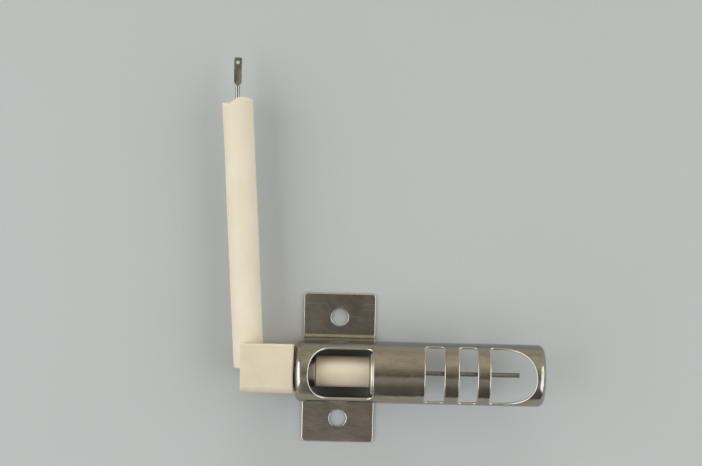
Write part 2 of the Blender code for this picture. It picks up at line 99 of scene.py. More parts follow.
HOLE_EDGE = 0.36 * MM
CUT_PAST = 0.02 * MM
PLAIN_SHARES = (0.6, 0.7)
MITRE_LIMIT = 0.3

# Drawn caps
CAP_SHEET = 0.5 * MM
CAP_EDGE = 1.4 * MM
CAP_FOOT = 1.0 * MM
CAP_FOOT_CORNER = 1.8 * MM
CAP_FOOT_LEAST = 0.45 * MM
REAR_CAP_DEPTH = 2.4 * MM
SUPPORT_COLLAR_LENGTH = 2.4 * MM
FIT = 0.25 * MM

# Ceramics and gasket
NECK_RADIUS = 4.2 * MM
NECK_IN_HEAD = 6.0 * MM
STEM_LENGTH = 27.0 * MM
CERAMIC_ROUND = 0.45 * MM
HEAD_DRAFT = 1.6 * MM
HEAD_ROUND = 0.6 * MM
HEAD_BROW = 2.4 * MM
FORK_ROUND = 0.35 * MM
FORK_EDGE_ANGLE = math.radians(50)
GASKET_ROUND = 0.15 * MM

# Spark rod
ROD_BEND = 2.5 * MM
ROD_TIP_ROUND = 0.2 * MM
LEAD_INSET = 2.23 * MM
LEAD_LEAN = math.radians(3.56)
NECK_BARE = 3.45 * MM
TAB_KINK = math.radians(3.4)
TAB_TAPER = 1.35 * MM
TAB_LENGTH = 7.5 * MM
TAB_WIDTH = 2.6 * MM
TAB_THICKNESS = 0.6 * MM
TAB_CORNER = 0.5 * MM
TAB_HOLE = 1.1 * MM
TAB_HOLE_INSET = 1.5 * MM
TAB_HOLE_EDGE = 0.075 * MM
TAB_SQUARENESS = 6.0
TAB_GROOVE = 0.12 * MM
TAB_GROOVE_SHARE = 0.7

# Retainer, with half a tooth and a tooth's flank as shares of the pitch
RETAINER_SHEET = 0.35 * MM
RETAINER_DISH = 0.5 * MM
RETAINER_SLOT = 1.9 * MM
RETAINER_TEETH = 8
TOOTH_HALF = 0.38
TOOTH_FLANK = 0.06

# Lead sleeve, and its swell, which is slow along it and has ripples
SLEEVE_BORE = 5.5 * MM
SLEEVE_LENGTH = 82.4 * MM
SLEEVE_LIP = 0.3 * MM
SLEEVE_SWELL = 0.12 * MM
SWELL_MEAN = 0.75
SWELL_SLOW = 0.6
SWELL_RIPPLE = 0.4
SLOW_PER_METRE = 22
SLOW_PLACE = (3.7, 1.9)
RIPPLE_PER_METRE = 70

# The sleeve's hand-cut top: a dip and a crest across it, and the share of its length that follows the cut
TOP_DIP = -3.6 * MM
TOP_CREST = 1.2 * MM
TOP_DEPTH = 1.95 * MM
TOP_RISE = 0.65 * MM
TOP_RISE_WIDTH = 1.15 * MM
TOP_FALL = 0.5 * MM
TOP_FALL_WIDTH = 3.1 * MM
TOP_TILT = 0.35 * MM
TOP_SHARE = 0.2
TOP_CALM = 0.9

# Camera over the part, which leans a little about the rod's axis in the photograph, and the floor's reach
CAMERA_PLACE = Vector((2.92, 42.24, 470.0)) * MM
CAMERA_TURN = math.radians(1.33)
CAMERA_LEAN = math.radians(-2.0)
CAMERA_LENS = 76.86
SENSOR_WIDTH = 36.0
VIEW_NEAR = 0.01
VIEW_FAR = 50.0
FLOOR_REACH = 4.0
FLOOR_CELLS = 8

# Lamps: a softbox on each side, of which this is the right one's place, and a fill on the lead's side
LAMP_AIM = Vector((0.01, 0.03, 0.01))
SOFTBOX_PLACE = Vector((0.58, -0.07, 0.44))
SOFTBOX_SIZE = (1.05, 0.62)
SOFTBOX_COLOUR = (0.91, 0.97, 1.0)
LEFT_POWER = 4.3
RIGHT_POWER = 3.65
FILL_PLACE = Vector((0.0, 1.2, 0.33))
FILL_SIZE = (1.6, 0.5)
FILL_COLOUR = (0.94, 0.98, 1.0)
FILL_POWER = 2.0
FILL_SPREAD = math.radians(60)

# The room's tones, by degrees from straight up towards the lead's side, and the tone on the back's side
ROOM_TONES = (
    (-89, (0.08, 0.072, 0.06)),
    (-48, (0.14, 0.12, 0.10)),
    (-17, (0.40, 0.35, 0.31)),
    (-4, (0.11, 0.10, 0.08)),
    (18, (0.34, 0.30, 0.22)),
    (42, (0.60, 0.52, 0.36)),
    (89, (0.50, 0.46, 0.36)),
)
SIDE_TONE = (0.42, 0.37, 0.29)
SIDE_TURN = math.radians(-9)
SIDE_SHARE = 0.8

# Metals: two tones, the least and most roughness, and the grain as noise cells per metre along X, Y and Z
METALS = {
    "stainless": (((0.44, 0.43, 0.395), (0.52, 0.51, 0.475)), (0.11, 0.22), (60.0, 2600.0, 2600.0)),
    "cap_steel": (((0.44, 0.41, 0.36), (0.53, 0.50, 0.45)), (0.32, 0.44), (900.0, 900.0, 900.0)),
    "rod_alloy": (((0.31, 0.305, 0.285), (0.40, 0.395, 0.37)), (0.22, 0.36), (400.0, 400.0, 4000.0)),
    "spring_steel": (((0.18, 0.18, 0.20), (0.28, 0.28, 0.30)), (0.24, 0.4), (800.0, 800.0, 800.0)),
}
SCRATCH_GRAIN = (60.0, 2200.0, 2200.0)
SCRATCH_TURN = (0.3, 0.2, 0.5)
SCRATCH_GLOSS = 0.12

# Spans of noise that are spread over a whole result: a wide one for soft tones, and narrow ones for marks
SOFT_SPAN = (0.3, 0.7)
METAL_SPAN = (0.35, 0.65)
SMUDGE_SPAN = (0.35, 0.7)
SCRATCH_SPAN = (0.66, 0.72)
STAIN_SPAN = (0.46, 0.68)
SPECK_SPAN = (0.74, 0.8)
FLAKE_SPAN = (0.62, 0.7)
MARK_SPAN = (0.6, 0.72)
DUST_SPAN = (0.75, 0.82)

# Other materials: two tones of the body, what is strewn on it, roughness, and grain where it runs one way
CERAMIC_TONES = ((0.69, 0.61, 0.475), (0.63, 0.55, 0.415))
CERAMIC_SPECK = (0.42, 0.34, 0.24)
CERAMIC_GLOSS = (0.5, 0.7)
MICA_TONES = ((0.11, 0.08, 0.045), (0.25, 0.19, 0.11))
MICA_FLAKE = (0.46, 0.40, 0.29)
MICA_GLOSS = (0.5, 0.22)
MICA_GRAIN = (9000.0, 300.0, 300.0)
SILICONE_TONES = ((0.765, 0.695, 0.565), (0.715, 0.64, 0.505))
SILICONE_DUST = (0.55, 0.47, 0.36)
SILICONE_GLOSS = (0.58, 0.46)
SILICONE_GRAIN = (1500.0, 25.0, 1500.0)
FLOOR_TONES = ((0.455, 0.475, 0.485), (0.475, 0.495, 0.505))
FLOOR_SHINE = 0.25
WHOLE = (0.0, 1.0)

# Marks of use on the shield: stains and dents; painted reflection and shade that darken and tan the roof's
# sides towards the bottom; and the sheared edges' layer, whose pale tone is partly a painted highlight
STAIN_TONE = (0.34, 0.32, 0.275)
STAIN_SHARE = 0.75
STAIN_GLOSS = 0.1
STAIN_GRAIN = (170.0, 420.0, 420.0)
DENT_GRAIN = (260.0, 420.0, 420.0)
# Painted reflection and shade: the roof's sides get a tan tone below one height and a dark one below a lower
# height, fading in above the legs' foot
PAINTED_REFLECTION_FOOT = 6.5 * MM
PAINTED_DARK_REFLECTION = (0.29, 0.285, 0.275)
PAINTED_DARK_REFLECTION_TOP = 14.2 * MM
PAINTED_TAN_REFLECTION = (0.43, 0.375, 0.285)
PAINTED_TAN_REFLECTION_TOP = 16.6 * MM
PAINTED_REFLECTION_FADE = 1.0 * MM
PAINTED_REFLECTION_DRIFT = 0.3 * MM
CUT_EDGE = "cut_edge"
# The cut edges' pale tone is partly the sheared metal's own and partly a painted highlight of the bright
# rims
PALE_EDGE_AND_HIGHLIGHT_TONE = (0.66, 0.645, 0.615)
CUT_EDGE_GLOSS = 0.14

# Facets
ROUND_SIDES = 96
ROD_SIDES = 32
ARC_STEPS = 20
EDGE_STEPS = 8
RIM_STEPS = 4
LIP_STEPS = 5
FORK_STEPS = 3
COLUMN_WIDTH = 1.3 * MM
NARROWEST_COLUMN = 1.5 * SHEET_EDGE
SPOT_DIGITS = 8
FLAT_FACE_WEIGHT = 80

# Lines across the sheet, as many on the roof as on its sides: plain ones, and the stretches that are cut
BACK_LINES = 1
LEG_LINES = 3
SIDE_LINES = 6
WINDOW_STRETCH = 2
FILLET_STRETCH = 4
SLOT_STRETCHES = (6, 8, 10)

# Sockets of the shader, in the order that wire feeds them, and of the node that mixes colours
SHADER_INPUTS = ("Base Color", "Roughness", "Normal")
MIX_FACTOR = 0
MIX_FIRST = 6
MIX_SECOND = 7
MIX_RESULT = 2

# Sizes of the shield that follow from the ones above
MID_RADIUS = SHIELD_RADIUS - SHEET / 2
EAR_BACK = SHIELD_BACK + BACK_LIP_RADIUS
EAR_FRONT = -EAR_BACK
WINDOW_BACK = SHIELD_BACK + BACK_BAND
WINDOW_FRONT = WINDOW_BACK + WINDOW_LENGTH
MOUTH_FRONT = SHIELD_FRONT - FRONT_BAND
MOUTH_BACK = MOUTH_FRONT - MOUTH_LENGTH
MOUTH_ROUND = MOUTH_LENGTH - MOUTH_STRAIGHT
SLOT_B_FRONT = MOUTH_BACK - MOUTH_BAR
SLOT_B_BACK = SLOT_B_FRONT - SLOT_B_LENGTH
SLOT_A_FRONT = SLOT_B_BACK - SLOT_BAR
SLOT_A_BACK = SLOT_A_FRONT - SLOT_A_LENGTH
EAR_MID_RADIUS = EAR_BEND + SHEET / 2
WALL_START = MID_RADIUS * QUARTER
BEND_CENTRE_Z = SHEET / 2 + EAR_MID_RADIUS
BEND_START = WALL_START + ROD_HEIGHT - BEND_CENTRE_Z
FLAT_START = BEND_START + EAR_MID_RADIUS * QUARTER
FLAT_Y = MID_RADIUS + EAR_MID_RADIUS
EAR_EDGE = FLAT_START + EAR_REACH - FLAT_Y
HOLE_PLACE = FLAT_START + HOLE_SPACING / 2 - FLAT_Y
SIDE_EDGE = WALL_START + SIDE_DROP
WINDOW_EDGE = WALL_START - WINDOW_LAND
SLOT_EDGE = WALL_START - SLOT_LAND
BACK_LIP = EAR_BACK
FRONT_LIP = SHIELD_FRONT - FRONT_LIP_RADIUS

# Sizes of the other pieces that follow
BORE_RADIUS = ROD_RADIUS + FIT
CAP_RADIUS = SHIELD_RADIUS - SHEET - FIT
NECK_BACK = HEAD_HIGH.x - NECK_IN_HEAD
STEM_BACK = STEM_HIGH.x - STEM_LENGTH
LEAD_X = HEAD_LOW.x + LEAD_INSET
SLEEVE_START = ROD_RADIUS + FIT - SLEEVE_BORE / 2 * math.tan(LEAD_LEAN)
SLEEVE_END = SLEEVE_START + SLEEVE_LENGTH


def between(low, high, count):
    return [low + (high - low) * step / (count + 1) for step in range(1, count + 1)]


def quarter_turns(steps):
    return [QUARTER * step / steps for step in range(steps + 1)]


def half_turns(steps):
    return [math.pi * step / steps for step in range(steps + 1)]


def full_turns(sides):
    return [2 * math.pi * step / sides for step in range(sides)]


def smooth_step(value):
    value = min(1.0, max(0.0, value))
    return value * value * (3 - 2 * value)


def loft(rings, joined):
    """Skins rings of equal point counts; a joined loft closes on its first ring, an open one gets ends."""
    shape = bmesh.new()
    loops = [[shape.verts.new(point) for point in ring] for ring in rings]
    pairs = list(zip(loops, loops[1:]))
    if joined:
        pairs.append((loops[-1], loops[0]))
    for first, second in pairs:
        for index in range(len(first)):
            follow = (index + 1) % len(first)
            shape.faces.new((first[index], first[follow], second[follow], second[index]))
    if not joined:
        shape.faces.new(loops[0])
        shape.faces.new(loops[-1])
    return shape


def circle(x, radius):
    """A ring about the spark rod's axis."""
    turns = full_turns(ROUND_SIDES)
    return [ROD_AXIS + Vector((x, radius * cos(t), radius * sin(t))) for t in turns]


def rounded_profile(corners, radius):
    """A closed outline of (x, r) corners with each corner rounded by a curve that fits its sides."""
    outline = []
    points = [Vector(corner) for corner in corners]
    for index, point in enumerate(points):
        before = points[index - 1] - point
        after = points[(index + 1) % len(points)] - point
        reach = min(radius, before.length / 2, after.length / 2)
        start = point + before.normalized() * reach
        end = point + after.normalized() * reach
        for step in range(RIM_STEPS + 1):
            share = step / RIM_STEPS
            first = start.lerp(point, share)
            second = point.lerp(end, share)
            outline.append(first.lerp(second, share))
    return outline


def turned(corners, radius):
    return loft([circle(spot.x, spot.y) for spot in rounded_profile(corners, radius)], joined=True)


def link_object(name, shape):
    """Turns a bmesh into a smooth object in the scene."""
    bmesh.ops.recalc_face_normals(shape, faces=shape.faces)
    mesh = bpy.data.meshes.new(name)
    shape.to_mesh(mesh)
    shape.free()
    mesh.shade_smooth()
    thing = bpy.data.objects.new(name, mesh)
    bpy.context.scene.collection.objects.link(thing)
    return thing


def bake(thing):
    """Replaces an object's mesh with what its modifiers make of it."""
    graph = bpy.context.evaluated_depsgraph_get()
    mesh = bpy.data.meshes.new_from_object(thing.evaluated_get(graph))
    thing.modifiers.clear()
    thing.data = mesh
    mesh.shade_smooth()


def cut(thing, shape):
    """Takes a closed shape out of an object."""
    cutter = link_object("cutter", shape)
    boolean = thing.modifiers.new("cut", "BOOLEAN")
    boolean.operation = "DIFFERENCE"
    boolean.solver = "EXACT"
    boolean.object = cutter
    bake(thing)
    bpy.data.objects.remove(cutter, do_unlink=True)


def round_edges(thing, method, width, steps):
    """Rounds an object's edges by their weight, or those that are sharper than the fork's angle."""
    bevel = thing.modifiers.new("round", "BEVEL")
    bevel.limit_method = method
    bevel.angle_limit = FORK_EDGE_ANGLE
    bevel.width = width
    bevel.segments = steps
    bake(thing)


def dress(thing, material, node, body="igniter"):
    """Gives a piece its material, even shading and its body, and hides the CAD node that it stands for."""
    thing.data.materials.clear()
    thing.data.materials.append(material)
    weighted = thing.modifiers.new("even_normals", "WEIGHTED_NORMAL")
    weighted.weight = FLAT_FACE_WEIGHT
    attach(thing, body)
    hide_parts(node)


# The shield's sheet is drawn flat, as u along X and s around the roof from its crown, and then folded.
def fold(u, s, lift):
    """Places a point of the flat sheet, at a height above its middle, on the folded shield."""
    reach = abs(s)
    if reach <= WALL_START:
        turn = reach / MID_RADIUS
        y, z = MID_RADIUS * sin(turn), ROD_HEIGHT + MID_RADIUS * cos(turn)
        normal_y, normal_z = sin(turn), cos(turn)
    elif reach <= BEND_START:
        y, z = MID_RADIUS, ROD_HEIGHT - (reach - WALL_START)
        normal_y, normal_z = 1.0, 0.0
    elif reach <= FLAT_START:
        turn = (reach - BEND_START) / EAR_MID_RADIUS
        y = FLAT_Y - EAR_MID_RADIUS * cos(turn)
        z = BEND_CENTRE_Z - EAR_MID_RADIUS * sin(turn)
        normal_y, normal_z = cos(turn), sin(turn)
    else:
        y, z = FLAT_Y + reach - FLAT_START, SHEET / 2
        normal_y, normal_z = 0.0, 1.0
    straight = min(max(u, BACK_LIP), FRONT_LIP)
    radius = (BACK_LIP_RADIUS if u < BACK_LIP else FRONT_LIP_RADIUS) - SHEET / 2
    curl = (u - straight) / radius
    x = straight + (radius + lift) * sin(curl)
    out = (radius + lift) * cos(curl) - radius
    y, z = y + out * normal_y, z + out * normal_z
    return Vector((x, math.copysign(y, s) if s else 0.0, z))


def wavy_fold(u, s, lift):
    """The folded sheet with slight waves from pressing on its outer face, but flat round the holes."""
    spot = Vector((u * WAVE_PER_METRE, s * WAVE_PER_METRE, 0.0))
    from_hole = math.hypot(u, abs(s) - HOLE_PLACE)
    depth = SHEET_WAVE * (0.5 + 0.5 * noise.noise(spot)) * smooth_step(from_hole / HOLE_DIAMETER - 1)
    return fold(u, s, lift - depth * max(0.0, lift) / (SHEET / 2))


def rounding(s, edge, radius):
    """How far a cut's corner has come in at s, for a corner that ends at edge."""
    into = max(0.0, abs(s) - (edge - radius))
    return radius - math.sqrt(max(0.0, radius**2 - into**2))


def oval(s, edge, depth):
    """How far a cut's round end has come in at s, for a cut that ends at edge."""
    return depth * (1 - math.sqrt(max(0.0, 1 - (s / edge) ** 2)))


def roof_columns(s):
    """The u lines of the roof between the lips, along the edges of its cuts."""
    corner = rounding(s, SLOT_EDGE, SLOT_CORNER)
    window_back = WINDOW_BACK + oval(s, WINDOW_EDGE, WINDOW_ROUND)
    window_front = WINDOW_FRONT - rounding(s, WINDOW_EDGE, WINDOW_CORNER)
    slots = [
        SLOT_A_BACK + corner,
        SLOT_A_FRONT - corner,
        SLOT_B_BACK + corner,
        SLOT_B_FRONT - corner,
        MOUTH_BACK + corner,
        MOUTH_FRONT - oval(s, SLOT_EDGE, MOUTH_ROUND),
    ]
    plain = [window_front + (slots[0] - window_front) * share for share in PLAIN_SHARES]
    first = between(BACK_LIP, window_back, BACK_LINES)
    return [BACK_LIP, *first, window_back, window_front, *plain, *slots, FRONT_LIP]


def wall_columns():
    """The u lines of the sides between the lips: leg, its front fillet, and the rest in even steps."""
    leg = [EAR_BACK, *between(EAR_BACK, EAR_FRONT, LEG_LINES), EAR_FRONT]
    fillet_front = EAR_FRONT + LEG_FILLET
    return [*leg, fillet_front, *between(fillet_front, FRONT_LIP, SIDE_LINES), FRONT_LIP]


def stretch_parts():
    """How many columns fill each stretch between two u lines, none narrower than a rounded edge."""
    roof, wall = roof_columns(0.0), wall_columns()
    parts = []
    for index in range(len(wall) - 1):
        widths = (roof[index + 1] - roof[index], wall[index + 1] - wall[index])
        most = math.floor(min(widths) / NARROWEST_COLUMN)
        parts.append(max(1, min(most, round(max(widths) / COLUMN_WIDTH))))
    parts[FILLET_STRETCH] = 1
    return parts


STRETCH_PARTS = stretch_parts()


def lip_steps(radius):
    length = (radius - SHEET / 2) * QUARTER
    return [length * step / LIP_STEPS for step in range(1, LIP_STEPS + 1)]


def columns(s):
    """The u lines of the sheet at s, as (u, stretch that follows), from one lip's edge to the other's."""
    share = min(1.0, max(0.0, (abs(s) - SLOT_EDGE) / (WALL_START - SLOT_EDGE)))
    mixed = [roof + (wall - roof) * share for roof, wall in zip(roof_columns(s), wall_columns())]
    line = [(BACK_LIP - step, -1) for step in reversed(lip_steps(BACK_LIP_RADIUS))]
    for stretch, parts in enumerate(STRETCH_PARTS):
        low, high = mixed[stretch], mixed[stretch + 1]
        line += [(low + (high - low) * part / parts, stretch) for part in range(parts)]
    line.append((FRONT_LIP, len(STRETCH_PARTS)))
    return line + [(FRONT_LIP + step, len(STRETCH_PARTS)) for step in lip_steps(FRONT_LIP_RADIUS)]


def sheet_rows():
    """The s lines of the roof and sides, close together where the cuts' ends are round."""
    roof = [WINDOW_EDGE * sin(QUARTER * step / ARC_STEPS) for step in range(ARC_STEPS)]
    first = math.asin(WINDOW_EDGE / SLOT_EDGE)
    turns = between(first, QUARTER, EDGE_STEPS - 1)
    rest = [SLOT_EDGE * sin(turn) for turn in turns]
    sides = between(SLOT_EDGE, WALL_START, EDGE_STEPS - 1)
    half = [*roof, WINDOW_EDGE, *rest, SLOT_EDGE, *sides, WALL_START, SIDE_EDGE]
    return [-s for s in reversed(half[1:])] + half


def leg_rows():
    """The s lines of a leg and its ear, close together where they bend."""
    fillet = SIDE_EDGE + LEG_FILLET
    leg = between(fillet, BEND_START, RIM_STEPS)
    bend = between(BEND_START, FLAT_START, EDGE_STEPS)
    corner = EAR_EDGE - EAR_CORNER
    ear = between(FLAT_START, corner, EDGE_STEPS)
    return [SIDE_EDGE, fillet, *leg, BEND_START, *bend, FLAT_START, *ear, corner]


def leg_columns(s):
    """The u lines of a leg and its ear at s, which become even on the way down from the roof."""
    line = [u for u, stretch in columns(SIDE_EDGE) if 0 <= stretch < FILLET_STRETCH]
    even = [EAR_BACK, *between(EAR_BACK, EAR_FRONT, len(line) - 1)]
    share = smooth_step((s - SIDE_EDGE) / (BEND_START - SIDE_EDGE))
    return [u + (level - u) * share for u, level in zip(line, even)] + [EAR_FRONT]


def arc_spots(centre, start, end):
    """Points of a quarter arc about a centre, from start to end."""
    spots = []
    for turn in quarter_turns(EDGE_STEPS):
        across, along = cos(turn), sin(turn)
        u = centre[0] + (start[0] - centre[0]) * across + (end[0] - centre[0]) * along
        s = centre[1] + (start[1] - centre[1]) * across + (end[1] - centre[1]) * along
        spots.append((u, s))
    return spots


def fillet_cell():
    """The cell of a side that runs down into the leg's front fillet."""
    right = EAR_FRONT + LEG_FILLET
    low = SIDE_EDGE + LEG_FILLET
    arc = arc_spots((right, low), (right, SIDE_EDGE), (EAR_FRONT, low))
    inner = [(leg_columns(low)[-2], low), (leg_columns(SIDE_EDGE)[-2], SIDE_EDGE)]
    return [*inner, (EAR_FRONT, SIDE_EDGE), (EAR_FRONT, WALL_START), (right, WALL_START), *arc]


def ear_end_cells():
    """The cells along an ear's outer edge, of which the two at its ends have a rounded corner."""
    low = EAR_EDGE - EAR_CORNER
    line = leg_columns(low)
    reach = EAR_CORNER + SHEET_EDGE
    back = [u for u in line if u - EAR_BACK < reach]
    front = [u for u in line if EAR_FRONT - u < reach]
    middle = line[len(back) : len(line) - len(front)]
    for index in range(len(middle) - 1):
        yield cell(middle, middle, index, low, EAR_EDGE)
    for edge, lower, inner in ((EAR_BACK, back, middle[0]), (EAR_FRONT, front[::-1], middle[-1])):
        inset = math.copysign(EAR_CORNER, inner - edge)
        arc = arc_spots((edge + inset, low), (edge + inset, EAR_EDGE), (edge, low))
        yield [*[(u, low) for u in lower[1:]], (inner, low), (inner, EAR_EDGE), *arc]


def is_open(stretch, s):
    """Whether the roof or a side has no plain cell in a stretch, at s."""
    in_window = stretch == WINDOW_STRETCH and s < WINDOW_EDGE
    in_fillet = stretch == FILLET_STRETCH and s > WALL_START
    return in_window or in_fillet or (stretch in SLOT_STRETCHES and s < SLOT_EDGE)


def cell(lower, upper, index, low, high):
    follow = index + 1
    return ((lower[index], low), (lower[follow], low), (upper[follow], high), (upper[index], high))


def sheet_cells():
    """Yields the flat sheet's cells, each as its (u, s) corners."""
    rows = sheet_rows()
    stretches = [stretch for u, stretch in columns(0.0)]
    for low, high in zip(rows, rows[1:]):
        lower = [u for u, stretch in columns(low)]
        upper = [u for u, stretch in columns(high)]
        for index in range(len(lower) - 1):
            if not is_open(stretches[index], abs(low + high) / 2):
                yield cell(lower, upper, index, low, high)
    for corners in leg_cells():
        yield corners
        yield [(u, -s) for u, s in corners]


def leg_cells():
    """Yields the cells of one leg and its ear."""
    stations = leg_rows()
    for low, high in zip(stations, stations[1:]):
        lower, upper = leg_columns(low), leg_columns(high)
        beside_fillet = 1 if low == SIDE_EDGE else 0
        for index in range(len(lower) - 1 - beside_fillet):
            yield cell(lower, upper, index, low, high)
    yield fillet_cell()
    yield from ear_end_cells()


def edge_key(spot):
    return (round(spot[0], SPOT_DIGITS), round(spot[1], SPOT_DIGITS))


def free_edges(cells):
    """The sheet's outline: the directions out of the sheet at each corner on it, and its edges."""
    sides = {}
    for corners in cells:
        pairs = list(zip(corners, [*corners[1:], corners[0]]))
        area = sum(first[0] * second[1] - second[0] * first[1] for first, second in pairs)
        for spot, other in pairs:
            pair = frozenset((edge_key(spot), edge_key(other)))
            sides.setdefault(pair, []).append((spot, other, math.copysign(1.0, area)))
    outline = {}
    edges = []
    for found in sides.values():
        if len(found) == 1:
            spot, other, winding = found[0]
            along = (Vector(other) - Vector(spot)).normalized()
            out = Vector((along.y, -along.x)) * winding
            edges.append((edge_key(spot), edge_key(other)))
            outline.setdefault(edge_key(spot), []).append(out)
            outline.setdefault(edge_key(other), []).append(out)
    return outline, edges


def rounded_sheet(cells):
    """Folds the cells on both faces of the sheet and rounds its free edges."""
    cells = list(cells)
    outline, edges = free_edges(cells)
    half = SHEET / 2
    shape = bmesh.new()
    cut_edge = shape.verts.layers.float.new(CUT_EDGE)
    turns = quarter_turns(RIM_STEPS)
    steps = [(SHEET_EDGE * (1 - sin(t)), half - SHEET_EDGE * (1 - cos(t))) for t in turns]
    steps += [(inset, -lift) for inset, lift in reversed(steps)]
    rims = {}
    for spot, ways in outline.items():
        out = ways[0] + ways[1]
        out /= max(MITRE_LIMIT, 1 + ways[0].dot(ways[1]))
        rims[spot] = [
            shape.verts.new(wavy_fold(spot[0] - out.x * inset, spot[1] - out.y * inset, lift))
            for inset, lift in steps
        ]
        for vertex in rims[spot][1:-1]:
            vertex[cut_edge] = 1.0
    inner = {}

    def corner(spot, top):
        key = edge_key(spot)
        if key in rims:
            return rims[key][0 if top else -1]
        if (key, top) not in inner:
            inner[(key, top)] = shape.verts.new(wavy_fold(*spot, half if top else -half))
        return inner[(key, top)]

    for corners in cells:
        shape.faces.new([corner(spot, True) for spot in corners])
        shape.faces.new([corner(spot, False) for spot in reversed(corners)])
    for first, second in edges:
        for index in range(len(steps) - 1):
            one, two = rims[first], rims[second]
            shape.faces.new((one[index], two[index], two[index + 1], one[index + 1]))
    return shape


def flared_cutter(radius, low, high, edge, centre):
    """A round cutter along Z that widens past both faces, so that the hole it leaves has rounded edges."""
    turns = quarter_turns(RIM_STEPS)
    flare = [(edge * (1 - cos(t)) - CUT_PAST, radius + edge * (1 - sin(t))) for t in turns]
    profile = [(high + edge, radius + edge)]
    profile += [(high - depth, reach) for depth, reach in flare]
    profile += [(low + depth, reach) for depth, reach in reversed(flare)]
    profile.append((low - edge, radius + edge))
    around = full_turns(ROUND_SIDES)
    rings = []
    for z, reach in profile:
        ring = [Vector((centre.x + reach * cos(t), centre.y + reach * sin(t), z)) for t in around]
        rings.append(ring)
    shape = loft(rings, joined=False)
    cut_edge = shape.verts.layers.float.new(CUT_EDGE)
    for vertex in shape.verts:
        vertex[cut_edge] = 1.0
    return shape


def build_shield(material):
    shield = link_object("shield_sheet", rounded_sheet(sheet_cells()))
    for side in (1, -1):
        centre = Vector((0, side * HOLE_SPACING / 2, 0))
        cut(shield, flared_cutter(HOLE_DIAMETER / 2, 0.0, SHEET, HOLE_EDGE, centre))
    dress(shield, material, "shield")


def arch(x, inset):
    """A cap's outline about the rod axis: half-round top, straight legs, rounded feet, drawn in by inset."""
    radius = CAP_RADIUS - inset
    foot = CAP_FOOT - ROD_HEIGHT + inset
    corner = max(CAP_FOOT_CORNER - inset, CAP_FOOT_LEAST)
    roof = half_turns(2 * ARC_STEPS)
    spots = [(radius * cos(turn), radius * sin(turn)) for turn in roof]
    turns = quarter_turns(EDGE_STEPS)
    inner = radius - corner
    leg = between(0, foot + corner, EDGE_STEPS - 1)
    spots += [(-radius, z) for z in leg]
    spots += [(-inner - corner * cos(turn), foot + corner * (1 - sin(turn))) for turn in turns]
    spots += [(y, foot) for y in between(-inner, inner, EDGE_STEPS)]
    spots += [(inner + corner * sin(turn), foot + corner * (1 - cos(turn))) for turn in turns]
    spots += [(radius, z) for z in reversed(leg)]
    return [ROD_AXIS + Vector((x, y, z)) for y, z in spots]


def hole_ring(x, radius):
    """A round ring with a point for each point of the cap's outline."""
    ring = []
    for spot in arch(x, 0.0):
        across = (spot - ROD_AXIS - Vector((x, 0, 0))).normalized() * radius
        ring.append(ROD_AXIS + Vector((x, across.y, across.z)))
    return ring


def drawn_cap(back, depth, hole_radius, collar_front):
    """A drawn sheet cap: a plate with a rounded rim and skirt, and a collar drawn out of its hole."""
    turns = quarter_turns(EDGE_STEPS)
    inner_edge = CAP_EDGE - CAP_SHEET
    plate = back + CAP_SHEET
    half = CAP_SHEET / 2
    around = half_turns(EDGE_STEPS)
    outer = [arch(back + CAP_EDGE * (1 - cos(t)), CAP_EDGE * (1 - sin(t))) for t in turns]
    rim = [arch(back + depth - half * (1 - sin(t)), half * (1 - cos(t))) for t in around]
    inner = [
        arch(plate + inner_edge * (1 - cos(t)), CAP_SHEET + inner_edge * (1 - sin(t)))
        for t in reversed(turns)
    ]
    root = [
        hole_ring(plate + CAP_SHEET * (1 - sin(t)), hole_radius + CAP_SHEET * (2 - cos(t)))
        for t in reversed(turns)
    ]
    end = [
        hole_ring(collar_front - half * (1 - sin(t)), hole_radius + half * (1 + cos(t)))
        for t in around
    ]
    mouth = [
        hole_ring(back + CAP_SHEET * (1 - sin(t)), hole_radius + CAP_SHEET * (1 - cos(t)))
        for t in turns
    ]
    return loft([*outer, *rim, *inner, *root, *end, *mouth], joined=True)


def build_rear_cap(material):
    shape = drawn_cap(REAR_CAP_LOW.x, REAR_CAP_DEPTH, NECK_RADIUS + FIT, REAR_CAP_HIGH.x)
    cap = link_object("rear_cap_shell", shape)
    dress(cap, material, "rear_cap")


def build_front_support(material):
    collar_front = SUPPORT_LOW.x + CAP_SHEET + SUPPORT_COLLAR_LENGTH
    depth = SUPPORT_HIGH.x - SUPPORT_LOW.x
    shape = drawn_cap(SUPPORT_LOW.x, depth, STEM_RADIUS + FIT, collar_front)
    support = link_object("front_support_shell", shape)
    dress(support, material, "front_support")


def build_stem(material):
    corners = [
        (NECK_BACK, BORE_RADIUS),
        (NECK_BACK, NECK_RADIUS),
        (STEM_BACK, NECK_RADIUS),
        (STEM_BACK, STEM_RADIUS),
        (STEM_HIGH.x, STEM_RADIUS),
        (STEM_HIGH.x, BORE_RADIUS),
    ]
    stem = link_object("stem_ceramic", turned(corners, CERAMIC_ROUND))
    dress(stem, material, "insulator_stem")


def plain_box(low, high):
    shape = bmesh.new()
    middle = (low + high) / 2
    size = Matrix.Diagonal((*(high - low), 1.0))
    bmesh.ops.create_cube(shape, size=1.0, matrix=Matrix.Translation(middle) @ size)
    return shape


def rounded_box(low, high, radius):
    shape = plain_box(low, high)
    edges = shape.edges[:]
    bmesh.ops.bevel(shape, geom=edges, offset=radius, segments=EDGE_STEPS, profile=0.5, affect="EDGES")
    return shape


def round_cutter(x_low, x_high, radius):
    return loft([circle(x_low, radius), circle(x_high, radius)], joined=False)


